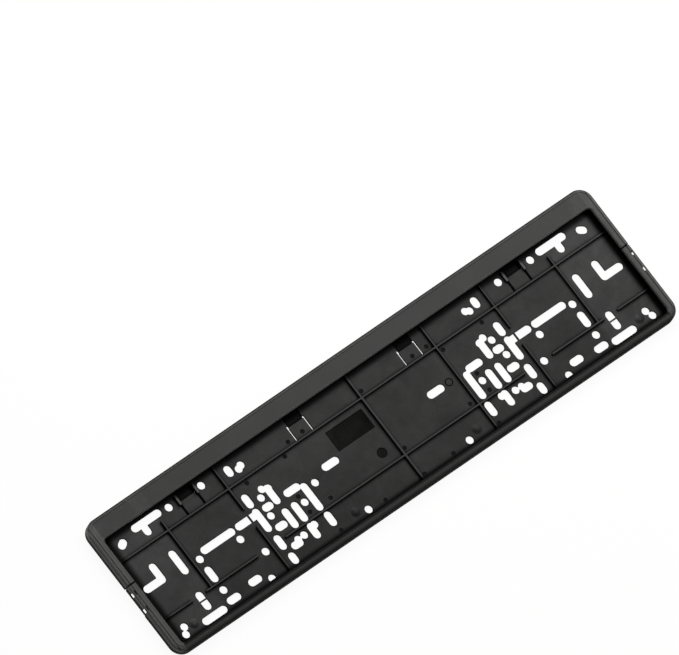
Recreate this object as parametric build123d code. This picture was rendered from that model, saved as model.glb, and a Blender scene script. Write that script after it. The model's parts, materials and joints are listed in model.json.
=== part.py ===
"""Moulded number plate holder: a slotted base plate and the strip that snaps on and keeps the plate in.

The holder lies on its back. +X runs along the plate, +Y towards the wide band, +Z out of the front.
All sizes are in millimetres. The origin is under the middle of the outline, on the back plane.
"""

from build123d import *
import os

# The number plate that the holder takes
plate_length = 520.0
plate_height = 110.0
plate_play = 0.5
plate_slot = 3.2

# From the plate's edge to the outside of the rim
end_margin = 6.0
bar_margin = 6.5
band_margin = 17.5

# How far the lips reach over the plate
end_cover = 2.4
bar_cover = 0.6
band_cover = 1.15

# Heights of the layers, from the back
floor_thickness = 2.0
rib_height = 2.5
lip_thickness = 2.3

# Moulded walls and edges
wall = 1.8
rib = 1.3
spine_rib = 1.8
corner_radius = 12.0
opening_radius = 3.5
rim_round = 2.6
lip_breaks = (0.8, 0.35)
bar_crest = 5.1
bar_slope = 20.0
groove_inset = 3.0
groove_width = 0.7
groove_depth = 0.35

# Where the strip meets the base, and the groove over the rim there
seam_y = 5.0
seam_gap = 0.3
seam_groove_width = 1.0
seam_groove_depth = 1.0
fit_gap = 0.3
skirt_lift = 0.5

# The blade at the end of each arm, and the windows that its barb looks out of
blade_low = 4.0
blade_root = 8.0
blade_play = 0.2
barb_length = 1.3
barb_drop = 1.2
window_length = 4.0
window_step = 16.2
window_offset = 7.8
window_bridge = 1.5
window_sill = 1.0
grip_depth = 0.5
grip_length = 27.0

# The spring tongues of the base, each with the width of its slits, and the hooked feet of the strip
tongues = [(58.3, 1.3), (173.1, 0.4)]
tongue_width = 15.8
tongue_length = 12.5
tongue_offset = 10.0

# The outer tongues' slits widen into sunk steps near the root, and guide ribs stand beside the tip
guide_width = 2.0
guide_before = 3.0
guide_after = 6.5
sunk_slit = 2.0
sunk_slit_depth = 0.9
leg_offset = 4.5
leg_wall = 1.8
foot_low = 0.3
foot_thickness = 1.1
catch_reach = 1.0
catch_thickness = 0.6

# The floor's holes and other marks. Round shapes that no bolt is meant for are drawn with flats
hole_width = 7.0
flats_per_quarter = 3
web = 1.2
boss_width = 9.0
boss_height = 1.1
boss_slope = 20.0
mark_depth = 0.4
badge_length = 38.0
badge_height = 19.0
gate_width = 9.0
date_width = 7.0
date_line = 0.7

# Levels and lines that follow from the sizes above
seat_z = floor_thickness + rib_height
lip_z = seat_z + plate_slot
top_z = lip_z + lip_thickness
holder_length = plate_length + 2 * end_margin
holder_height = plate_height + bar_margin + band_margin
plate_y = (bar_margin - band_margin) / 2
end = plate_length / 2
band = plate_y + plate_height / 2
bar = plate_y - plate_height / 2
far = holder_length

# Bolt holes on the right half, each with its twin on the left: x and y
bolt_holes = [
    (197.5, -8.8),
    (197.5, -40.7),
    (191.6, band - 8.5),
    (158.7, -14.1),
    (157.4, band - 8.7),
    (147.7, -34.2),
    (53.6, bar + 7.0),
]

# The long bolt slot on the right half: x, y of the middle and overall length
bolt_slot = (175.3, -4.8, 35.5)

# Other round holes, some of which widen the end of a slot: x and y
spare_holes = [
    (end - 15.5, bar + 12.8),
    (end - 12.8, bar + 6.9),
    (124.9, -12.3),
    (122.3, 4.5),
    (119.0, band - 13.1),
    (122.4, band - 14.9),
    (118.5, -41.2),
    (112.1, -40.9),
    (117.2, 10.1),
    (112.0, 7.8),
    (99.3, -38.5),
    (94.2, -18.8),
]

# Other slots along X: x, y of the middle and overall length
level_slots = [
    (end - 17.75, -4.8, 22.5),
    (end - 45.7, band - 7.1, 31.0),
    (end - 43.0, bar + 6.5, 25.5),
    (194.7, bar + 9.0, 14.0),
    (170.4, bar + 11.4, 13.5),
    (143.25, -4.8, 26.5),
    (122.9, -24.0, 12.0),
    (122.2, -4.7, 11.0),
    (121.6, -43.9, 12.0),
    (96.5, -4.6, 17.0),
    (55.9, -4.6, 17.4),
]

# Other slots along Y: x, y of the middle and overall length
upright_slots = [
    (end - 25.5, 1.5, 19.6),
    (end - 46.0, -1.0, 24.0),
    (end - 41.0, band - 11.1, 15.0),
    (end - 42.8, -38.8, 18.0),
    (197.5, -24.5, 15.5),
    (133.5, -11.3, 23.4),
    (133.5, 8.4, 13.8),
    (132.7, -34.8, 14.5),
    (131.7, bar + 8.8, 11.2),
    (130.7, band - 11.8, 10.5),
    (112.8, 1.7, 19.6),
    (112.8, -22.9, 19.8),
    (102.9, -22.9, 19.8),
    (102.9, -42.5, 15.4),
    (86.4, -18.4, 28.0),
    (85.1, -42.1, 14.3),
]

# The slanted slot near each band corner: x, y, overall length and turn in degrees
slanted_slot = (end - 16.7, band - 12.0, 10.0, -32.0)

# The hole near the bar whose lower part is closed: x, y, and y of its straight edge
cut_hole = (157.4, bar + 5.0, bar + 3.7)

# The one hole with no twin on the right
single_hole = (-76.6, -10.3)

# Lines of the rib grid, and where the ribs stop to leave the slots free
upper_rib_y = band - 24.2
lower_rib_y = bar + 26.6
outer_rib_x = end - 55.1
outer_rib_top = band - 14.5
slot_rib_x = 141.1
slot_rib_gap = (-13.0, 4.0)
slot_rib_crossing = (-9.5, -0.5)
side_rib_x = 78.6
lower_rib_runs = [
    (-127.0, 127.0),
    (156.0, end - 49.0),
    (end - 35.0, end),
]
slot_web = (end - 42.8, -38.5)

# Raised and sunk spots of the floor
boss_places = [(64.3, bar + 11.2), (end - 24.0, bar + 10.5)]
badge_place = (-24.6, 9.1)
gate_place = (-14.4, -21.4)
date_place = (69.8, -4.4)


def slab(sketch, low, high):
    """A flat layer of a plan outline between two heights."""
    return Pos(0, 0, low) * extrude(sketch, high - low)


def block(x_range, y_range, z_range):
    """A square-edged block between pairs of limits."""
    size = [limits[1] - limits[0] for limits in (x_range, y_range, z_range)]
    corner = (x_range[0], y_range[0], z_range[0])
    return Pos(*corner) * Box(*size, align=(Align.MIN, Align.MIN, Align.MIN))


def both_sides(shape):
    """A shape on the right half with its mirror image on the left."""
    return shape + mirror(shape, about=Plane.YZ)


def outline(inset):
    """The holder's outline, drawn in by a distance all round."""
    size = (holder_length - 2 * inset, holder_height - 2 * inset)
    return RectangleRounded(*size, corner_radius - inset)


def plate_outline(end_inset, bar_inset, band_inset, radius):
    """The number plate's outline, drawn in by a distance at each side."""
    size = (plate_length - 2 * end_inset, plate_height - bar_inset - band_inset)
    middle = plate_y + (bar_inset - band_inset) / 2
    return Pos(0, middle) * RectangleRounded(*size, radius)


def opening():
    """The window between the lips, where the plate shows."""
    return plate_outline(end_cover, bar_cover, band_cover, opening_radius)


def slot_outline(grow):
    """The space that the plate's edges go into, grown by a wall or by nothing."""
    reach = plate_play + grow
    return plate_outline(-reach, -reach, -reach, opening_radius + reach)


def above(y):
    """A large plan rectangle on the band's side of a line."""
    return Pos(0, y + far / 2) * Rectangle(2 * far, far)


def below(y):
    """A large plan rectangle on the bar's side of a line."""
    return Pos(0, y - far / 2) * Rectangle(2 * far, far)


def rim_shell():
    """The whole rim as one open channel: a rounded skirt outside, the lip on top and a sloping bar."""
    ring = slab(outline(0) - opening(), 0, top_z)
    ring = fillet(ring.faces().sort_by(Axis.Z)[-1].outer_wire().edges(), rim_round)
    for size in lip_breaks:
        ring = chamfer(ring.faces().sort_by(Axis.Z)[-1].inner_wires()[0].edges(), size)
    groove = outline(groove_inset) - outline(groove_inset + groove_width)
    ring -= slab(groove, top_z - groove_depth, far)
    slope = Rot(bar_slope, 0, 0) * block((-far, far), (-far, 0), (0, far))
    ring -= Pos(0, bar_crest - holder_height / 2, top_z) * slope
    return ring - slab(outline(wall), -far, lip_z)


def disc(width):
    """A round plan shape with flats, its full width from corner to corner."""
    return RegularPolygon(width / 2, 4 * round(flats_per_quarter))


def slot(length):
    """A slot along X whose ends are drawn with flats."""
    reach = (length - hole_width) / 2
    ends = [Pos(side * reach, 0) * disc(hole_width) for side in (-1, 1)]
    return Rectangle(2 * reach, hole_width) + ends


def hole_shapes():
    """All the floor's fixing holes and slots, in plan."""
    shapes = [Pos(x, y) * Circle(hole_width / 2) for x, y in bolt_holes]
    x, y, length = bolt_slot
    shapes.append(Pos(x, y) * SlotOverall(length, hole_width))
    shapes += [Pos(x, y) * disc(hole_width) for x, y in spare_holes]
    shapes += [Pos(x, y) * slot(length) for x, y, length in level_slots]
    shapes += [Pos(x, y) * Rot(0, 0, 90) * slot(length) for x, y, length in upright_slots]
    x, y, length, turn = slanted_slot
    shapes.append(Pos(x, y) * Rot(0, 0, turn) * slot(length))
    x, y, edge = cut_hole
    shapes.append(Pos(x, y) * disc(hole_width) & above(edge))
    return both_sides(Sketch() + shapes) + Pos(*single_hole) * disc(hole_width)


def floor():
    """The slotted floor, with the thin webs that cross two pairs of slots."""
    plan = slot_outline(wall) + (outline(wall + fit_gap) & above(seam_y))
    plate = slab(plan - hole_shapes(), 0, floor_thickness)
    half = web / 2
    crossing = block((slot_rib_x - half, slot_rib_x + half), slot_rib_crossing, (0, floor_thickness))
    x, y = slot_web
    bridge = block((x - hole_width, x + hole_width), (y - half, y + half), (0, floor_thickness))
    return plate + both_sides(crossing + bridge)


def walls():
    """The wall round the plate's edges and the wall that carries the strip."""
    surround = slot_outline(wall) - slot_outline(0)
    start = seam_y + blade_root + 2 * fit_gap
    carrier = (outline(wall + fit_gap) - outline(2 * wall + fit_gap)) & above(start)
    return slab(surround + carrier, floor_thickness, lip_z)


def ribs():
    """The rib grid on the floor and the outer tongues' guides, up to the height where the plate rests."""
    height = (floor_thickness, seat_z)
    side = end + plate_play + wall / 2
    low = bar - plate_play - wall / 2
    high = band + plate_play + wall / 2
    half = rib / 2

    def along(x_range, y):
        return block(x_range, (y - half, y + half), height)

    def across(x, y_range, width=rib):
        return block((x - width / 2, x + width / 2), y_range, height)

    grid = along((-side, side), upper_rib_y)
    grid += across(0, (low, high), spine_rib)
    grid += across(side_rib_x, (low, high))
    grid += along(lower_rib_runs[0], lower_rib_y)
    outer = [along(run, lower_rib_y) for run in lower_rib_runs[1:]]
    outer += [across(outer_rib_x, (lower_rib_y, outer_rib_top))]
    outer += [across(slot_rib_x, (low, slot_rib_gap[0])), across(slot_rib_x, (slot_rib_gap[1], high))]
    tip = band - tongue_offset
    x, slit = tongues[-1]
    reach = (tongue_width + guide_width) / 2 + slit
    for place in (x - reach, x + reach):
        outer.append(across(place, (tip - guide_before, tip + guide_after), guide_width))
    return grid + both_sides(Part() + outer)


def bosses():
    """The low cone-shaped bosses near the floor's lower edge."""
    boss = extrude(disc(boss_width), boss_height, taper=90 - boss_slope)
    shapes = [Pos(x, y, floor_thickness) * boss for x, y in boss_places]
    return both_sides(Part() + shapes)


def sunk_marks():
    """The bare badge field, the gate mark and the mould's dial, sunk in the floor."""
    badge = Pos(*badge_place) * Rectangle(badge_length, badge_height)
    gate = Pos(*gate_place) * disc(gate_width)
    dial = Pos(*date_place) * (disc(date_width) - disc(date_width - 2 * date_line))
    return slab(badge + gate + dial, floor_thickness - mark_depth, seat_z)


def tongue_cuts():
    """The slits, the window and the tip's rebate that free the spring tongues."""
    half = tongue_width / 2
    tip = band - tongue_offset
    root = tip - tongue_length
    rebate = foot_low + catch_thickness + fit_gap
    depth = (-far, lip_z)
    cuts = []
    for x, slit in tongues:
        back = band + leg_offset + leg_wall + slit
        cuts.append(block((x - half - slit, x - half), (root, tip + slit), depth))
        cuts.append(block((x + half, x + half + slit), (root, tip + slit), depth))
        cuts.append(block((x - half, x + half), (tip, back), depth))
        cuts.append(block((x - half, x + half), (tip - catch_reach - fit_gap, tip), (-far, rebate)))
    sunk = (floor_thickness - sunk_slit_depth, lip_z)
    x, slit = tongues[-1]
    cuts.append(block((x - half - sunk_slit, x - half), (root, tip - guide_before), sunk))
    cuts.append(block((x + half, x + half + sunk_slit), (root, tip - guide_before), sunk))
    return both_sides(Part() + cuts)


def channel():
    """The limits in X of the open channel inside the rim of the right short end."""
    return (end + plate_play + wall, holder_length / 2 - wall)


def rim_windows():
    """The two small windows in each short end's rim and the shallow grip outside them."""
    inner, outer = channel()
    cuts = []
    for step in (0, window_step):
        middle = seam_y - window_offset - step
        y_range = (middle - window_length / 2, middle + window_length / 2)
        cuts.append(block((inner + blade_play / 2, outer - blade_play / 2), y_range, (lip_z, far)))
        cuts.append(block((outer - wall, far), y_range, (window_sill, top_z - window_bridge)))
    edge = holder_length / 2 - grip_depth
    cuts.append(block((edge, far), (seam_y - grip_length, seam_y), (-far, far)))
    return both_sides(Part() + cuts)


def seam_groove():
    """The groove over the top and side of the rim, where the strip meets the base."""
    y_range = (seam_y - seam_groove_width / 2, seam_y + seam_groove_width / 2)
    edge = holder_length / 2 - seam_groove_depth
    groove = block((0, far), y_range, (top_z - seam_groove_depth, far))
    groove += block((edge, far), y_range, (-far, far))
    return both_sides(groove)


def base_plate():
    """The moulded tray: floor, ribs, walls and the rim on the bar's side of the seam."""
    tray = floor() - sunk_marks()
    tray = tray + walls() + ribs() + bosses()
    tray -= tongue_cuts()
    rim = rim_shell() & slab(below(seam_y - seam_gap / 2), -far, far)
    return tray + (rim - rim_windows() - seam_groove())


def blade():
    """The barbed blade that runs from the right arm into the base's rim."""
    inner, outer = channel()
    thick = (inner + blade_play, outer - blade_play)
    catch = seam_y - window_offset + window_length / 2 - blade_play
    tip = catch - barb_length
    shape = block(thick, (tip, seam_y + blade_root), (blade_low, lip_z - blade_play))
    root = (seam_y + seam_gap / 2, seam_y + blade_root)
    shape += block((thick[0], outer + wall / 2), root, (blade_low, lip_z + lip_thickness / 2))
    return shape + block(thick, (tip, catch), (blade_low, top_z - barb_drop))


def foot(x):
    """One leg of the strip with its foot and the catch that lies under a tongue's tip."""
    half = tongue_width / 2 - fit_gap
    width = (x - half, x + half)
    tip = band - tongue_offset + fit_gap
    leg = (band + leg_offset, band + leg_offset + leg_wall)
    shape = block(width, leg, (foot_low, lip_z + lip_thickness / 2))
    shape += block(width, (tip, leg[1]), (foot_low, foot_low + foot_thickness))
    return shape + block(width, (tip - catch_reach, tip), (foot_low, foot_low + catch_thickness))


def retaining_strip():
    """The moulded strip: band, corners and arms, with its feet and blades."""
    strip = rim_shell() & slab(above(seam_y + seam_gap / 2), skirt_lift, far)
    strip += both_sides(Part() + [blade()] + [foot(x) for x, slit in tongues])
    return strip - seam_groove()


os.makedirs("parts", exist_ok=True)
export_step(base_plate(), "parts/base_plate.step")
export_step(retaining_strip(), "parts/retaining_strip.step")
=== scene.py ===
"""Looks of the moulded number plate holder: its plastic, its mould marks and a plain studio.

Blender's lengths are in metres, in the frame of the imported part: +X along the plate, +Y towards the wide
band and +Z out of the front. Named places on the holder are in millimetres from its middle and its back.
The holder lies on its back on the floor.
"""

from collections import namedtuple
import json
import math

import bmesh
import bpy
from mathutils import Matrix, Vector


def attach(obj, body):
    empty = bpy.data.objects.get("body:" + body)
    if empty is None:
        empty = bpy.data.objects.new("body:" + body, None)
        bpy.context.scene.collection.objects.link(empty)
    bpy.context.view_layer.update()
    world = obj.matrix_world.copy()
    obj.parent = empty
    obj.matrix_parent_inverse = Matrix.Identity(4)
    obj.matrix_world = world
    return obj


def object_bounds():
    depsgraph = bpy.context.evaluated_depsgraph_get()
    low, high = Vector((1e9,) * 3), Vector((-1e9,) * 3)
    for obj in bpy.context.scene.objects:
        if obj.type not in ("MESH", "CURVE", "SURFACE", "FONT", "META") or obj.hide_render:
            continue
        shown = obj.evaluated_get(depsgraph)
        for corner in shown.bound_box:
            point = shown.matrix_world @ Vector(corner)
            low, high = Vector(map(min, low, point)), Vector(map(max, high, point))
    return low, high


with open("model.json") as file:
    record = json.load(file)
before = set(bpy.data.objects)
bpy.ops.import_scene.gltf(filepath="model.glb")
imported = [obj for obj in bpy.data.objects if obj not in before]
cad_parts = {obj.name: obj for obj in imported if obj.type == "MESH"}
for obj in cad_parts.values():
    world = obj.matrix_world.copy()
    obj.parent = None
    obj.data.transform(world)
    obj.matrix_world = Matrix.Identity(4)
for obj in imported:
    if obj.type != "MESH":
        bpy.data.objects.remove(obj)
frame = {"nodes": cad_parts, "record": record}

bl_info = {
    "name": "Number plate holder",
    "version": (1, 0, 0),
    "blender": (4, 5, 0),
    "location": "3D View > Sidebar > Plate Holder",
    "description": "Dresses a moulded number plate holder and sets up its studio",
    "category": "Object",
}

CAD_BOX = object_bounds()
MM = 0.001

# Levels and middle of the part, read from its record and its box
MOUNTS = {mount["name"]: Vector(mount["pos_m"]) for mount in frame["record"]["mounts"]}
FLOOR_TOP = MOUNTS["bolts_395_middle"].z
SEAT_TOP = MOUNTS["plate_seat"].z
CENTRE = (CAD_BOX[0] + CAD_BOX[1]) / 2

# Numbered sockets of Blender's Mix node
COLOUR_A = 6
COLOUR_B = 7
MIXED_COLOUR = 2
FLOAT_A = 2
FLOAT_B = 3

# A ramp turns a value from low to high into one from first to last, and is level outside
Ramp = namedtuple("Ramp", "low high first last")

# A mark sunk in the tray's floor, and how dull it is
FloorMark = namedtuple("FloorMark", "middle half dullness")

# A line in one region of the rim: its place, how far to each side it is full and where it ends, its strength
RimLine = namedtuple("RimLine", "axis region place full end strength")

# A soft box over the floor, in metres, and the stage setting with its power
SoftBox = namedtuple("SoftBox", "name place size power")

# Places of the ejector pin marks on the tray's floor, and the sides of each mark's circle
PIN_PLACES = [
    (4.0, 30.5),
    (-74.0, 30.0),
    (73.0, 30.5),
    (83.0, 20.5),
    (-84.0, 21.5),
    (124.5, 21.0),
    (-124.5, 21.0),
    (-58.3, 30.5),
    (58.3, 30.5),
    (4.0, -28.5),
    (-74.0, -28.0),
    (73.0, -29.0),
    (-96.0, -12.0),
    (94.0, -11.5),
    (-96.0, -28.0),
    (94.0, -28.5),
    (4.0, -55.5),
    (-37.0, -55.0),
    (35.0, -55.0),
    (83.0, -55.5),
    (-84.0, -55.0),
]
PIN_STEPS = 32

# Section of a pin's mark: share of its radius, and height over the floor
PIN_SECTION = [
    (0.55, 0.03),
    (0.70, 0.05),
    (0.78, 0.12),
    (0.90, 0.12),
    (1.00, 0.02),
    (1.00, -0.30),
]

# The bare badge field, the gate mark and the mould's dial
FLOOR_MARKS = [
    FloorMark(middle=(-24.6, 9.1), half=(19.0, 9.5), dullness=1.0),
    FloorMark(middle=(-14.4, -21.4), half=(4.6, 4.6), dullness=0.75),
    FloorMark(middle=(69.8, -4.4), half=(3.6, 3.6), dullness=1.0),
]
MARK_DEPTH = 0.4

# Middle and half height of the pits in the floor, such as slits and hole walls
PIT_MIDDLE = 1.0
PIT_HALF = 0.84

# Half height of the thin layers that count as the floor's face and as the ribs' tops
LAYER_HALF = 0.15

# The rim rises over the plate's seat, and its short ends are its arms
RIM_RISE = Ramp(0.5, 1.5, 0.0, 1.0)
ARM_RISE = Ramp(256.5, 258.0, 0.0, 1.0)

# Edges show where the rounded normal turns from the flat one, as the cosine of the turn
EDGE_TURN = Ramp(0.98, 0.75, 0.0, 1.0)
LINE_TURN = Ramp(0.99, 0.80, 0.0, 1.0)
BEVEL_SAMPLES = 6

# Painted highlights along the crests of the bar, the band's lip and the arms
HIGHLIGHT_LINES = [
    RimLine("Y", "sides", place=-63.0, full=0.6, end=1.8, strength=0.6),
    RimLine("Y", "sides", place=48.5, full=0.7, end=1.5, strength=2.2),
    RimLine("END", "arm", place=264.2, full=0.6, end=1.4, strength=2.0),
]

# Painted shade along the bar's inner side, the seam, and the groove and a fine line along the arms
SHADED_LINES = [
    RimLine("Y", "sides", place=-60.7, full=0.7, end=1.7, strength=0.85),
    RimLine("Y", "arm", place=5.0, full=0.5, end=1.0, strength=0.85),
    RimLine("END", "arm", place=262.65, full=0.35, end=0.9, strength=0.4),
    RimLine("END", "arm", place=259.5, full=0.3, end=0.9, strength=0.15),
]

# The guides beside the outer tongues, which get a painted highlight: places in X, middle in Y and Z, half
# sizes
GUIDE_PLACES = (163.8, 182.4)
GUIDE_MIDDLE = (40.2, 4.5)
GUIDE_HALF = (1.2, 3.0, 0.3)

# Strength of the painted highlights on edges and guides, and of the painted shade in pits and along the lines
# round holes
EDGE_HIGHLIGHT = 0.35
GUIDE_HIGHLIGHT = 4.0
PIT_SHADE = 0.85
HOLE_LINE_SHADE = 0.8

# How open a corner is to the sky, and how much painted shade it gets
CORNER_SKY = Ramp(0.55, 0.92, 0.1, 1.0)
CORNER_SAMPLES = 8

# Painted shadow where the floor turns black beside the lips
LIP_PAINTED_SHADOWS = [
    ("X", Ramp(256.0, 250.5, 0.06, 1.0)),
    ("X", Ramp(-253.0, -247.0, 0.06, 1.0)),
    ("Y", Ramp(46.5, 41.5, 0.2, 1.0)),
    ("Y", Ramp(-58.5, -54.0, 0.06, 1.0)),
]

# Painted shade on the outer edges, which are also made rougher
PAINTED_EDGE_SHADE = [
    ("Y", Ramp(-67.0, -63.6, 0.22, 1.0)),
    ("Y", Ramp(66.4, 65.5, 0.35, 1.0)),
    ("X", Ramp(265.6, 264.8, 0.4, 1.0)),
]

# What the noises do to the colour, the sheen and the roughness
CLOUD_SHADE = Ramp(0.3, 0.7, 0.88, 1.12)
CLOUD_SHEEN = Ramp(0.38, 0.62, 0.68, 1.0)
SPECK_SHEEN = Ramp(0.3, 0.7, 0.82, 1.0)
SMUDGE_SHEEN = Ramp(0.36, 0.64, 0.86, 1.08)
CLOUD_ROUGHNESS = Ramp(0.3, 0.7, 0.50, 0.60)

# Painted light on the floor: its sheen is lower towards the bar and higher in the end panels
FLOOR_PAINTED_LIGHT = [
    ("Y", Ramp(-50.0, 35.0, 0.78, 1.0)),
    ("END", Ramp(202.9, 206.9, 0.76, 1.14)),
]

# Sheen of the rim and the rib tops, which gives the rib tops a painted highlight, and how much of it the
# floor's marks lose
PROUD_SHEEN = 0.79
MARK_DULL = 0.42

# What regions add to the roughness, and the roughness of the outer edges with painted shade
ROUGHNESS_STEPS = [
    ("proud", -0.03),
    ("arm", -0.12),
    ("marks", 0.25),
]
OUTER_EDGE_ROUGHNESS = 0.95

# Polypropylene's index of refraction, the strength of its reflections, and the depth of its grain
PLASTIC_IOR = 1.49
PLASTIC_SPECULAR = 0.45
GRAIN_STRENGTH = 0.35
GRAIN_DEPTH = 0.08

# The same for the plastic under an ejector pin, with the size of its grain, its roughness and its two blacks,
# which are painted shade for the pin's dimple
PIN_SPECULAR = 0.08
PIN_GRAIN_STRENGTH = 0.3
PIN_GRAIN_DEPTH = 0.05
PIN_GRAIN_SIZE = 0.6
PIN_ROUGHNESS = Ramp(0.0, 1.0, 0.5, 0.75)
PIN_SHADE_BLACKS = ("#030303", "#0A0A09")

# The floor is a block this wide in metres, and lies this far below the holder in millimetres
FLOOR_WIDTH = 8.0
FLOOR_GAP = 0.05

# Share of the floor's white that is its own, and the grey that it throws back on the holder
FLOOR_GLOW = 0.93
FLOOR_BOUNCE = "#7A7A79"

# The holder's contact shadow in reflections: how far it reaches, and how open to the sky the floor is there
CONTACT_REACH = 15.0
CONTACT_SKY = Ramp(0.5, 0.95, 0.0, 1.0)
CONTACT_SAMPLES = 6

# The overhead light, the key beyond the band, and the fills on the bar's side and at the left
SOFT_BOXES = [
    SoftBox("overhead_soft_box", place=(0.58, 0.40, 0.9), size=1.2, power="overhead_power"),
    SoftBox("key_soft_box", place=(0.4, 1.0, 1.0), size=0.8, power="key_power"),
    SoftBox("bar_fill_box", place=(0.5, -1.3, 0.7), size=1.6, power="fill_power"),
    SoftBox("left_fill_box", place=(-1.2, 1.0, 0.8), size=1.2, power="fill_power"),
]

# How far the camera stands from what it shows, in metres
CAMERA_DISTANCE = 2.0


def linear(hex_colour):
    """Turns an sRGB hex colour to the linear numbers that Blender uses."""
    levels = [int(hex_colour[place:place + 2], 16) / 255 for place in (1, 3, 5)]
    return [level / 12.92 if level <= 0.04045 else ((level + 0.055) / 1.055) ** 2.4 for level in levels]


def add_node(tree, kind, inputs=None, output=0, **settings):
    """Adds one node and gives one of its outputs.

    Settings are the node's own fields, and inputs are constants or sockets to link from.
    """
    made = tree.nodes.new(kind)
    for field, value in settings.items():
        setattr(made, field, value)
    for socket, value in (inputs or {}).items():
        if isinstance(value, bpy.types.NodeSocket):
            tree.links.new(value, made.inputs[socket])
        else:
            made.inputs[socket].default_value = value
    return made.outputs[output] if made.outputs else None


def ramped(value, ramp, start=0.0, unit=1.0):
    """Inputs that make a Map Range node follow a ramp, whose low and high count from start in a unit."""
    return {
        "Value": value,
        "From Min": start + ramp.low * unit,
        "From Max": start + ramp.high * unit,
        "To Min": ramp.first,
        "To Max": ramp.last,
    }


def new_material(name):
    """An empty node material and its tree."""
    material = bpy.data.materials.new(name)
    material.use_nodes = True
    material.node_tree.nodes.clear()
    return material, material.node_tree


class HolderFinish(bpy.types.PropertyGroup):
    """Colours and sizes of the plastic and of the marks that its mould left."""

    tray_colour: bpy.props.FloatVectorProperty(
        name="Tray colour",
        description="Colour of the black plastic in the tray",
        subtype="COLOR",
        size=3,
        min=0.0,
        max=1.0,
        default=linear("#181817"),
    )
    rim_colour: bpy.props.FloatVectorProperty(
        name="Rim colour",
        description="Colour of the black plastic on the rim and the strip",
        subtype="COLOR",
        size=3,
        min=0.0,
        max=1.0,
        default=linear("#20201F"),
    )
    badge_colour: bpy.props.FloatVectorProperty(
        name="Badge field colour",
        description="Colour of the bare field, which is rougher than the floor round it",
        subtype="COLOR",
        size=3,
        min=0.0,
        max=1.0,
        default=linear("#0C0C0B"),
    )
    grain_size: bpy.props.FloatProperty(
        name="Grain size",
        description="Width of one bump of the mould grain",
        unit="LENGTH",
        min=0.0002,
        max=0.005,
        default=0.9 * MM,
    )
    cloud_size: bpy.props.FloatProperty(
        name="Cloud size",
        description="Width of the cloudy areas that the melt's flow left",
        unit="LENGTH",
        min=0.005,
        max=0.2,
        default=45 * MM,
    )
    smudge_size: bpy.props.FloatProperty(
        name="Smudge size",
        description="Width of the faint smudges of dust and handling",
        unit="LENGTH",
        min=0.002,
        max=0.1,
        default=13 * MM,
    )
    edge_round: bpy.props.FloatProperty(
        name="Edge round",
        description="Radius that the light sees on moulded edges",
        unit="LENGTH",
        min=0.0,
        max=0.002,
        default=0.35 * MM,
    )
    # Reach of the painted shade in inner corners
    corner_shade_reach: bpy.props.FloatProperty(
        name="Corner reach",
        description="How far the dull black of inner corners reaches out",
        unit="LENGTH",
        min=0.001,
        max=0.02,
        default=3.5 * MM,
    )
    # Width of the painted shade line round the floor's holes
    line_width: bpy.props.FloatProperty(
        name="Line width",
        description="Width of the black line round the floor's holes",
        unit="LENGTH",
        min=0.0,
        max=0.003,
        default=0.9 * MM,
    )
    # Strength of the painted highlight on the left end of the rim
    left_arm_highlight: bpy.props.FloatProperty(
        name="Left arm polish",
        description="How much lighter the handled left end of the rim is",
        min=0.0,
        max=3.0,
        default=1.9,
    )
    # Strength of the painted highlight on the right end of the rim
    right_arm_highlight: bpy.props.FloatProperty(
        name="Right arm polish",
        description="How much lighter the handled right end of the rim is",
        min=0.0,
        max=3.0,
        default=0.8,
    )
    pin_width: bpy.props.FloatProperty(
        name="Pin width",
        description="Width of an ejector pin's mark",
        unit="LENGTH",
        min=0.001,
        max=0.01,
        default=4.0 * MM,
    )


class HolderStage(bpy.types.PropertyGroup):
    """The floor, the lights and the camera."""

    floor_colour: bpy.props.FloatVectorProperty(
        name="Floor colour",
        description="Colour of the studio floor",
        subtype="COLOR",
        size=3,
        min=0.0,
        max=1.0,
        default=linear("#F6F6F4"),
    )
    ambient: bpy.props.FloatProperty(
        name="Ambient light",
        description="Strength of the even light from all round",
        min=0.0,
        max=3.0,
        default=0.15,
    )
    overhead_power: bpy.props.FloatProperty(
        name="Overhead light",
        description="Power of the large soft box overhead",
        unit="POWER",
        min=0.0,
        max=500.0,
        default=12.1,
    )
    key_power: bpy.props.FloatProperty(
        name="Key light",
        description="Power of the soft light beyond the band",
        unit="POWER",
        min=0.0,
        max=500.0,
        default=8.0,
    )
    fill_power: bpy.props.FloatProperty(
        name="Fill lights",
        description="Power of each weak soft light that shows the form from other sides",
        unit="POWER",
        min=0.0,
        max=500.0,
        default=6.0,
    )
    azimuth: bpy.props.FloatProperty(
        name="View azimuth",
        description="Turn of the camera round the holder, from the bar's side",
        unit="ROTATION",
        default=math.radians(-68.7),
    )
    elevation: bpy.props.FloatProperty(
        name="View elevation",
        description="Height of the camera above the floor, as an angle",
        unit="ROTATION",
        default=math.radians(67.35),
    )
    roll: bpy.props.FloatProperty(
        name="View roll",
        description="Turn of the picture about the line of sight",
        unit="ROTATION",
        default=math.radians(32.7),
    )
    view_width: bpy.props.FloatProperty(
        name="View width",
        description="Width of what the camera shows",
        unit="LENGTH",
        min=0.01,
        max=10.0,
        default=554.5 * MM,
    )
    aim_across: bpy.props.FloatProperty(
        name="Aim across",
        description="How far right of the picture's middle the holder lies",
        unit="LENGTH",
        default=33.6 * MM,
    )
    aim_down: bpy.props.FloatProperty(
        name="Aim down",
        description="How far below the picture's middle the holder lies",
        unit="LENGTH",
        default=77.0 * MM,
    )


def part_axes(tree, place):
    """The place along X, Y and Z, and the distance from the middle towards either end."""
    split = add_node(tree, "ShaderNodeSeparateXYZ", {"Vector": place}).node.outputs
    axes = {axis: split[axis] for axis in "XYZ"}
    axes["END"] = add_node(tree, "ShaderNodeMath", {0: axes["X"]}, operation="ABSOLUTE")
    return axes


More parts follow.
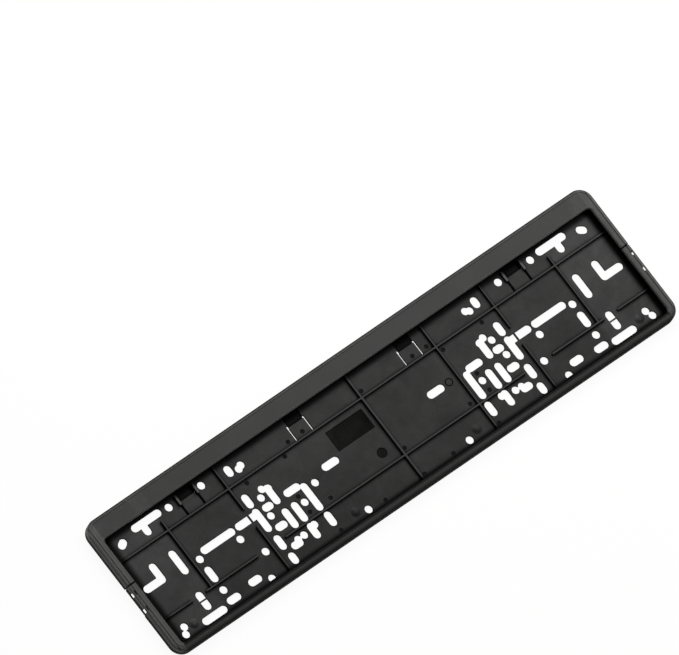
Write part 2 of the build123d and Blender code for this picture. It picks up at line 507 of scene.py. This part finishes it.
def box_mask(tree, axes, middle, half):
    """A mask that is 1 inside a box on the holder."""
    inside = 1.0
    for axis, centre, reach in zip("XYZ", middle, half):
        limits = {0: axes[axis], 1: centre * MM, 2: reach * MM}
        near = add_node(tree, "ShaderNodeMath", limits, operation="COMPARE")
        inside = add_node(tree, "ShaderNodeMath", {0: near, 1: inside}, operation="MULTIPLY")
    return inside


def line_mask(tree, axes, regions, line):
    """A mask that is 1 along a line of a region and fades to the line's sides."""
    away = add_node(tree, "ShaderNodeMath", {0: axes[line.axis], 1: line.place * MM}, operation="SUBTRACT")
    away = add_node(tree, "ShaderNodeMath", {0: away}, operation="ABSOLUTE")
    fade = Ramp(line.end, line.full, 0.0, 1.0)
    along = add_node(tree, "ShaderNodeMapRange", ramped(away, fade, unit=MM))
    return add_node(tree, "ShaderNodeMath", {0: along, 1: regions[line.region]}, operation="MULTIPLY")


def edge_mask(tree, flat, rounded, turn):
    """A mask of the edges, where the rounded normal leaves the flat one."""
    cosine = add_node(tree, "ShaderNodeVectorMath", {0: rounded, 1: flat}, "Value", operation="DOT_PRODUCT")
    return add_node(tree, "ShaderNodeMapRange", ramped(cosine, turn))


def part_regions(tree, axes):
    """Masks of the holder's regions, each 1 inside its region."""
    rim = add_node(tree, "ShaderNodeMapRange", ramped(axes["Z"], RIM_RISE, SEAT_TOP, MM))
    arm = add_node(tree, "ShaderNodeMapRange", ramped(axes["END"], ARM_RISE, unit=MM))
    arm = add_node(tree, "ShaderNodeMath", {0: arm, 1: rim}, operation="MULTIPLY")
    sides = add_node(tree, "ShaderNodeMath", {0: rim, 1: arm}, operation="SUBTRACT", use_clamp=True)

    layers = []
    for level in (FLOOR_TOP, SEAT_TOP):
        limits = {0: axes["Z"], 1: level, 2: LAYER_HALF * MM}
        layers.append(add_node(tree, "ShaderNodeMath", limits, operation="COMPARE"))
    floor, rib_tops = layers
    proud = add_node(tree, "ShaderNodeMath", {0: rim, 1: rib_tops}, operation="MAXIMUM")

    marks = 0.0
    sunk = FLOOR_TOP / MM - MARK_DEPTH
    for mark in FLOOR_MARKS:
        inside = box_mask(tree, axes, (*mark.middle, sunk), (*mark.half, MARK_DEPTH / 2))
        added = {0: inside, 1: mark.dullness, 2: marks}
        marks = add_node(tree, "ShaderNodeMath", added, operation="MULTIPLY_ADD")

    limits = {0: axes["Z"], 1: PIT_MIDDLE * MM, 2: PIT_HALF * MM}
    pits = add_node(tree, "ShaderNodeMath", limits, operation="COMPARE")
    pits = add_node(tree, "ShaderNodeMath", {0: pits, 1: marks}, operation="SUBTRACT", use_clamp=True)
    return {
        "rim": rim,
        "arm": arm,
        "sides": sides,
        "floor": floor,
        "proud": proud,
        "marks": marks,
        "pits": pits,
    }


def tone_and_highlights(tree, finish, axes, regions, clouds, edge):
    """How much lighter or darker the colour is: cloudy at random, with painted highlights on edges, ends,
    crests and guides.
    """
    tone_light_and_shade = add_node(tree, "ShaderNodeMapRange", ramped(clouds, CLOUD_SHADE))
    # Painted highlight along the edges
    tone_light_and_shade = add_node(tree, "ShaderNodeMath", {0: edge, 1: EDGE_HIGHLIGHT, 2: tone_light_and_shade}, operation="MULTIPLY_ADD")

    # Painted highlight on the short ends, set for each end
    across = Ramp(-ARM_RISE.low, ARM_RISE.low, finish.left_arm_highlight, finish.right_arm_highlight)
    highlight = add_node(tree, "ShaderNodeMapRange", ramped(axes["X"], across, unit=MM))
    tone_light_and_shade = add_node(tree, "ShaderNodeMath", {0: regions["arm"], 1: highlight, 2: tone_light_and_shade}, operation="MULTIPLY_ADD")

    # Painted highlights along the crests
    for line in HIGHLIGHT_LINES:
        highlit = {0: line_mask(tree, axes, regions, line), 1: line.strength, 2: tone_light_and_shade}
        tone_light_and_shade = add_node(tree, "ShaderNodeMath", highlit, operation="MULTIPLY_ADD")
    # Painted highlight on the guides
    for place in GUIDE_PLACES:
        guide = box_mask(tree, {**axes, "X": axes["END"]}, (place, *GUIDE_MIDDLE), GUIDE_HALF)
        tone_light_and_shade = add_node(tree, "ShaderNodeMath", {0: guide, 1: GUIDE_HIGHLIGHT, 2: tone_light_and_shade}, operation="MULTIPLY_ADD")
    return tone_light_and_shade


def painted_corner_shade(tree, finish, axes, regions, flat):
    """The painted shade, as a level of light: full on open faces, low in corners, pits, beside the lips and
    along dark lines.
    """
    # Painted shade in corners, from how open they are to the sky
    sky_inputs = {"Distance": finish.corner_shade_reach}
    sky = add_node(tree, "ShaderNodeAmbientOcclusion", sky_inputs, "AO", samples=CORNER_SAMPLES)
    painted_shade_level = add_node(tree, "ShaderNodeMapRange", ramped(sky, CORNER_SKY))
    # Painted shade in the pits, such as slits and hole walls
    pits = {0: regions["pits"], 1: -PIT_SHADE, 2: painted_shade_level}
    painted_shade_level = add_node(tree, "ShaderNodeMath", pits, operation="MULTIPLY_ADD", use_clamp=True)
    # Painted shadow on the floor beside the lips
    for axis, ramp in LIP_PAINTED_SHADOWS:
        beside = ramped(axes[axis], ramp, unit=MM)
        beside = add_node(tree, "ShaderNodeMapRange", beside, interpolation_type="SMOOTHSTEP")
        painted_shade_level = add_node(tree, "ShaderNodeMath", {0: painted_shade_level, 1: beside}, operation="MULTIPLY")

    # Painted shade: the floor's sharp edges round the holes and along the ribs show as thin black lines
    wide = add_node(tree, "ShaderNodeBevel", {"Radius": finish.line_width}, samples=BEVEL_SAMPLES)
    sharp = edge_mask(tree, flat, wide, LINE_TURN)
    sharp = add_node(tree, "ShaderNodeMath", {0: sharp, 1: regions["floor"]}, operation="MULTIPLY")
    lined = {0: sharp, 1: -HOLE_LINE_SHADE, 2: painted_shade_level}
    painted_shade_level = add_node(tree, "ShaderNodeMath", lined, operation="MULTIPLY_ADD", use_clamp=True)

    # The rim gets no painted corner shade, only its painted shade lines
    painted_shade_level = add_node(tree, "ShaderNodeMath", {0: painted_shade_level, 1: regions["rim"]}, operation="MAXIMUM")
    # Painted shade along the bar's inner side, the seam and the lines along the arms
    for line in SHADED_LINES:
        shaded = {0: line_mask(tree, axes, regions, line), 1: -line.strength, 2: painted_shade_level}
        painted_shade_level = add_node(tree, "ShaderNodeMath", shaded, operation="MULTIPLY_ADD", use_clamp=True)
    return painted_shade_level


def painted_edge_shade_mask(tree, axes):
    """A mask of painted shade, which falls from 1 towards the outer edges that it also makes rougher."""
    clear = 1.0
    for axis, ramp in PAINTED_EDGE_SHADE:
        inner = add_node(tree, "ShaderNodeMapRange", ramped(axes[axis], ramp, unit=MM))
        clear = add_node(tree, "ShaderNodeMath", {0: inner, 1: clear}, operation="MULTIPLY")
    return clear


def sheen(tree, axes, regions, noises):
    """Sheen before the painted shade: uneven with painted light on the floor, even on the rim, low in the
    marks.
    """
    specks = add_node(tree, "ShaderNodeMapRange", ramped(noises["grain"], SPECK_SHEEN))
    uneven = [
        add_node(tree, "ShaderNodeMapRange", ramped(noises["clouds"], CLOUD_SHEEN)),
        add_node(tree, "ShaderNodeMapRange", ramped(noises["smudges"], SMUDGE_SHEEN)),
    ]
    # Painted light: lower sheen towards the bar, higher in the end panels
    for axis, ramp in FLOOR_PAINTED_LIGHT:
        uneven.append(add_node(tree, "ShaderNodeMapRange", ramped(axes[axis], ramp, unit=MM)))
    level = specks
    for share in uneven:
        level = add_node(tree, "ShaderNodeMath", {0: level, 1: share}, operation="MULTIPLY")

    # Painted highlight on the rib tops, with the rim's even sheen
    even = add_node(tree, "ShaderNodeMath", {0: regions["proud"], 1: specks}, operation="MULTIPLY")
    even = add_node(tree, "ShaderNodeMath", {0: even, 1: PROUD_SHEEN}, operation="MULTIPLY")
    level = add_node(tree, "ShaderNodeMath", {0: level, 1: even}, operation="MAXIMUM")
    dulled = {0: regions["marks"], 1: -MARK_DULL, 2: level}
    return add_node(tree, "ShaderNodeMath", dulled, operation="MULTIPLY_ADD")


def roughness(tree, regions, clouds, clear):
    """The roughness: cloudy, smoother on the rim and the arms, rougher in the marks and on the outer edges
    with painted shade.
    """
    rough = add_node(tree, "ShaderNodeMapRange", ramped(clouds, CLOUD_ROUGHNESS))
    for region, step in ROUGHNESS_STEPS:
        stepped = {0: regions[region], 1: step, 2: rough}
        rough = add_node(tree, "ShaderNodeMath", stepped, operation="MULTIPLY_ADD")
    mixed = {"Factor": clear, FLOAT_A: OUTER_EDGE_ROUGHNESS, FLOAT_B: rough}
    return add_node(tree, "ShaderNodeMix", mixed, data_type="FLOAT")


def moulded_polypropylene(name, finish):
    """Injection-moulded black polypropylene, matt from a spark-eroded mould.

    The mould's fine pits leave a soft grey sheen with no sharp reflections. The melt's flow leaves faint
    cloudy areas, corners, pits and the floor beside the lips get painted shade, edges and crests get painted
    highlights, and the rim is smoother than the tray's floor.
    """
    material, tree = new_material(name)
    place = add_node(tree, "ShaderNodeTexCoord", output="Object")
    axes = part_axes(tree, place)
    regions = part_regions(tree, axes)

    # Real grain is near 0.3 mm wide, too fine for the picture, so it is drawn coarser
    noises = {}
    for kind, size, detail, raggedness, distortion in [
        ("grain", finish.grain_size, 3.0, 0.6, 0.0),
        ("clouds", finish.cloud_size, 4.0, 0.55, 0.8),
        ("smudges", finish.smudge_size, 3.0, 0.6, 1.2),
    ]:
        pattern = {"Detail": detail, "Roughness": raggedness, "Distortion": distortion}
        noises[kind] = add_node(tree, "ShaderNodeTexNoise", {"Vector": place, "Scale": 1 / size, **pattern})

    flat = add_node(tree, "ShaderNodeNewGeometry", output="Normal")
    rounded = add_node(tree, "ShaderNodeBevel", {"Radius": finish.edge_round}, samples=BEVEL_SAMPLES)
    edge = edge_mask(tree, flat, rounded, EDGE_TURN)
    # Painted shade on the outer edges, which also makes them rougher
    clear = painted_edge_shade_mask(tree, axes)
    # Painted shade in corners, pits, beside the lips and along lines darkens the colour and the sheen
    painted_shade_level = painted_corner_shade(tree, finish, axes, regions, flat)
    painted_shade_level = add_node(tree, "ShaderNodeMath", {0: painted_shade_level, 1: clear}, operation="MULTIPLY")

    colour = (*finish.tray_colour, 1)
    for region, other in [("rim", finish.rim_colour), ("marks", finish.badge_colour)]:
        mixed = {"Factor": regions[region], COLOUR_A: colour, COLOUR_B: (*other, 1)}
        colour = add_node(tree, "ShaderNodeMix", mixed, MIXED_COLOUR, data_type="RGBA")
    tone_light_and_shade = tone_and_highlights(tree, finish, axes, regions, noises["clouds"], edge)
    tone_light_and_shade = add_node(tree, "ShaderNodeMath", {0: tone_light_and_shade, 1: painted_shade_level}, operation="MULTIPLY")
    colour = add_node(tree, "ShaderNodeVectorMath", {0: colour, "Scale": tone_light_and_shade}, operation="SCALE")

    gloss = sheen(tree, axes, regions, noises)
    gloss = add_node(tree, "ShaderNodeMath", {0: gloss, 1: painted_shade_level}, operation="MULTIPLY")
    gloss = add_node(tree, "ShaderNodeCombineColor", {"Red": gloss, "Green": gloss, "Blue": gloss})
    grained = {
        "Height": noises["grain"],
        "Strength": GRAIN_STRENGTH,
        "Distance": GRAIN_DEPTH * MM,
        "Normal": rounded,
    }
    shader = add_node(
        tree,
        "ShaderNodeBsdfPrincipled",
        {
            "Base Color": colour,
            "Roughness": roughness(tree, regions, noises["clouds"], clear),
            "Normal": add_node(tree, "ShaderNodeBump", grained),
            "Specular Tint": gloss,
            "IOR": PLASTIC_IOR,
            "Specular IOR Level": PLASTIC_SPECULAR,
        },
    )
    add_node(tree, "ShaderNodeOutputMaterial", {"Surface": shader})
    return material


def pressed_polypropylene(name):
    """Black polypropylene for the marks that the ejector pins pressed in while it was warm.

    The spot is blacker than the grained floor, a painted shade for each mark's sunk dimple, with a fine
    uneven grain.
    """
    material, tree = new_material(name)
    place = add_node(tree, "ShaderNodeTexCoord", output="Object")
    pattern = {"Vector": place, "Scale": 1 / (PIN_GRAIN_SIZE * MM), "Detail": 2.0}
    grain = add_node(tree, "ShaderNodeTexNoise", pattern)
    darker, lighter = [(*linear(black), 1) for black in PIN_SHADE_BLACKS]
    mixed = {"Factor": grain, COLOUR_A: darker, COLOUR_B: lighter}
    grained = {"Height": grain, "Strength": PIN_GRAIN_STRENGTH, "Distance": PIN_GRAIN_DEPTH * MM}
    shader = add_node(
        tree,
        "ShaderNodeBsdfPrincipled",
        {
            "Base Color": add_node(tree, "ShaderNodeMix", mixed, MIXED_COLOUR, data_type="RGBA"),
            "Roughness": add_node(tree, "ShaderNodeMapRange", ramped(grain, PIN_ROUGHNESS)),
            "Normal": add_node(tree, "ShaderNodeBump", grained),
            "IOR": PLASTIC_IOR,
            "Specular IOR Level": PIN_SPECULAR,
        },
    )
    add_node(tree, "ShaderNodeOutputMaterial", {"Surface": shader})
    return material


def white_floor(name, stage):
    """White studio paper, which keeps a faint shadow and is bright to the eye and in reflections."""
    material, tree = new_material(name)
    rays = add_node(tree, "ShaderNodeLightPath").node.outputs

    # Reflections show a painted contact shadow, a dark line on the floor where the holder stands on it
    near_inputs = {"Distance": CONTACT_REACH * MM}
    near = add_node(tree, "ShaderNodeAmbientOcclusion", near_inputs, "AO", samples=CONTACT_SAMPLES)
    lit = add_node(tree, "ShaderNodeMapRange", ramped(near, CONTACT_SKY))
    seen = {0: rays["Is Glossy Ray"], 1: lit, 2: rays["Is Camera Ray"]}
    seen = add_node(tree, "ShaderNodeMath", seen, operation="MULTIPLY_ADD")
    seen = add_node(tree, "ShaderNodeMath", {0: seen, 1: rays["Is Transmission Ray"]}, operation="ADD")
    share = add_node(tree, "ShaderNodeMath", {0: seen, 1: FLOOR_GLOW}, operation="MULTIPLY")

    # Low views start inside the block, where no light falls
    inside = add_node(tree, "ShaderNodeNewGeometry", output="Backfacing")
    share = add_node(tree, "ShaderNodeMath", {0: share, 1: inside}, operation="MAXIMUM")
    mixed = {
        "Factor": rays["Is Diffuse Ray"],
        COLOUR_A: (*stage.floor_colour, 1),
        COLOUR_B: (*linear(FLOOR_BOUNCE), 1),
    }
    sheet = add_node(tree, "ShaderNodeMix", mixed, MIXED_COLOUR, data_type="RGBA")
    paper = add_node(tree, "ShaderNodeBsdfDiffuse", {"Color": sheet})
    glow = add_node(tree, "ShaderNodeEmission", {"Color": (1, 1, 1, 1), "Strength": 1.0})
    surface = add_node(tree, "ShaderNodeMixShader", {0: share, 1: paper, 2: glow})
    add_node(tree, "ShaderNodeOutputMaterial", {"Surface": surface})
    return material


def dress(node_name, material):
    """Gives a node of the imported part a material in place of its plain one."""
    mesh = frame["nodes"][node_name]
    if not mesh.material_slots:
        raise RuntimeError(f"{node_name} has no material slot")
    for slot in mesh.material_slots:
        slot.material = material


def add_piece(name, shape, material):
    """Turns a bmesh into an object with a material."""
    mesh = bpy.data.meshes.new(name)
    shape.to_mesh(mesh)
    shape.free()
    mesh.materials.append(material)
    piece = bpy.data.objects.new(name, mesh)
    bpy.context.scene.collection.objects.link(piece)
    return piece


def add_turned(shape, middle, radius, section):
    """Adds a closed turned form to a bmesh, from its section."""
    rings = []
    for share, height in section:
        ring = []
        for step in range(PIN_STEPS):
            angle = 2 * math.pi * step / PIN_STEPS
            out = Vector((math.cos(angle), math.sin(angle), 0)) * radius * share
            ring.append(shape.verts.new(middle + out + Vector((0, 0, height * MM))))
        rings.append(ring)
    shape.faces.new(rings[0])
    for upper, lower in zip(rings, rings[1:]):
        for step in range(PIN_STEPS):
            after = (step + 1) % PIN_STEPS
            shape.faces.new((upper[step], lower[step], lower[after], upper[after]))
    shape.faces.new(list(reversed(rings[-1])))


class HOLDER_OT_tray(bpy.types.Operator):
    """Give the tray its moulded plastic"""

    bl_idname = "plate_holder.tray"
    bl_label = "Finish the tray"

    def execute(self, context):
        material = moulded_polypropylene("moulded_polypropylene_tray", context.scene.holder_finish)
        dress("base_plate", material)
        return {"FINISHED"}


class HOLDER_OT_strip(bpy.types.Operator):
    """Give the strip its moulded plastic"""

    bl_idname = "plate_holder.strip"
    bl_label = "Finish the strip"

    def execute(self, context):
        material = moulded_polypropylene("moulded_polypropylene_strip", context.scene.holder_finish)
        dress("retaining_strip", material)
        return {"FINISHED"}


class HOLDER_OT_pin_marks(bpy.types.Operator):
    """Add the marks of the mould's ejector pins to the tray's floor"""

    bl_idname = "plate_holder.pin_marks"
    bl_label = "Add ejector pin marks"

    def execute(self, context):
        radius = context.scene.holder_finish.pin_width / 2
        shape = bmesh.new()
        for x, y in PIN_PLACES:
            add_turned(shape, Vector((x * MM, y * MM, FLOOR_TOP)), radius, PIN_SECTION)
        # The marks' black is painted shade for their sunk dimples
        marks = add_piece("ejector_pin_marks", shape, pressed_polypropylene("pressed_polypropylene"))
        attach(marks, "root")
        return {"FINISHED"}


class HOLDER_OT_stage(bpy.types.Operator):
    """Set up the floor, the lights and the camera"""

    bl_idname = "plate_holder.stage"
    bl_label = "Set the stage"

    def execute(self, context):
        scene = context.scene
        stage = scene.holder_stage
        scene.view_settings.view_transform = "Standard"
        self.add_floor(stage)
        self.add_world(scene, stage)
        self.add_lights(scene, stage)
        self.add_camera(scene, stage)
        return {"FINISHED"}

    def add_floor(self, stage):
        """A large white block under the holder, so deep that low views see nothing else below."""
        shape = bmesh.new()
        bmesh.ops.create_cube(shape, size=FLOOR_WIDTH)
        middle = CAD_BOX[0].z - FLOOR_GAP * MM - FLOOR_WIDTH / 2
        bmesh.ops.translate(shape, vec=(0, 0, middle), verts=shape.verts)
        floor = add_piece("studio_floor", shape, white_floor("white_studio_paper", stage))

    def add_world(self, scene, stage):
        """Weak even light from all round."""
        world = bpy.data.worlds.new("studio")
        world.use_nodes = True
        tree = world.node_tree
        tree.nodes.clear()
        light = add_node(tree, "ShaderNodeBackground", {"Color": (1, 1, 1, 1), "Strength": stage.ambient})
        add_node(tree, "ShaderNodeOutputWorld", {"Surface": light})
        scene.world = world

    def add_lights(self, scene, stage):
        """A large soft box overhead, a key beyond the band and two weak fills for the other sides."""
        for soft_box in SOFT_BOXES:
            lamp = bpy.data.lights.new(soft_box.name, "AREA")
            lamp.energy = getattr(stage, soft_box.power)
            lamp.size = soft_box.size
            box = bpy.data.objects.new(soft_box.name, lamp)
            box.visible_camera = False
            box.location = soft_box.place
            box.rotation_euler = (CENTRE - Vector(soft_box.place)).to_track_quat("-Z", "Y").to_euler()
            scene.collection.objects.link(box)

    def add_camera(self, scene, stage):
        """A camera with no perspective, turned and framed as in the picture."""
        turn = Matrix.Rotation(stage.azimuth, 3, "Z")
        tilt = Matrix.Rotation(math.pi / 2 - stage.elevation, 3, "X")
        axes = turn @ tilt @ Matrix.Rotation(stage.roll, 3, "Z")
        right, up, back = axes.col
        lens = bpy.data.cameras.new("studio_camera")
        lens.type = "ORTHO"
        lens.ortho_scale = stage.view_width
        camera = bpy.data.objects.new("studio_camera", lens)
        aim = CENTRE - right * stage.aim_across + up * stage.aim_down
        camera.matrix_world = Matrix.Translation(aim + back * CAMERA_DISTANCE) @ axes.to_4x4()
        scene.collection.objects.link(camera)
        scene.camera = camera


class HOLDER_PT_panel(bpy.types.Panel):
    """Sidebar panel with the holder's steps and settings"""

    bl_idname = "HOLDER_PT_panel"
    bl_label = "Plate Holder"
    bl_space_type = "VIEW_3D"
    bl_region_type = "UI"
    bl_category = "Plate Holder"

    def draw(self, context):
        for step in STEPS:
            self.layout.operator(step.bl_idname)
        for settings in (context.scene.holder_finish, context.scene.holder_stage):
            for name in settings.__annotations__:
                self.layout.prop(settings, name)


STEPS = (HOLDER_OT_tray, HOLDER_OT_strip, HOLDER_OT_pin_marks, HOLDER_OT_stage)
CLASSES = (HolderFinish, HolderStage, *STEPS, HOLDER_PT_panel)


def register():
    """Registers the classes and the settings."""
    for kind in CLASSES:
        bpy.utils.register_class(kind)
    bpy.types.Scene.holder_finish = bpy.props.PointerProperty(type=HolderFinish)
    bpy.types.Scene.holder_stage = bpy.props.PointerProperty(type=HolderStage)


def unregister():
    """Takes the settings and the classes away again."""
    del bpy.types.Scene.holder_stage
    del bpy.types.Scene.holder_finish
    for kind in reversed(CLASSES):
        bpy.utils.unregister_class(kind)


def main():
    """Registers the add-on and runs its steps in order."""
    register()
    bpy.ops.plate_holder.tray()
    bpy.ops.plate_holder.strip()
    bpy.ops.plate_holder.pin_marks()
    bpy.ops.plate_holder.stage()


if __name__ == "__main__":
    main()
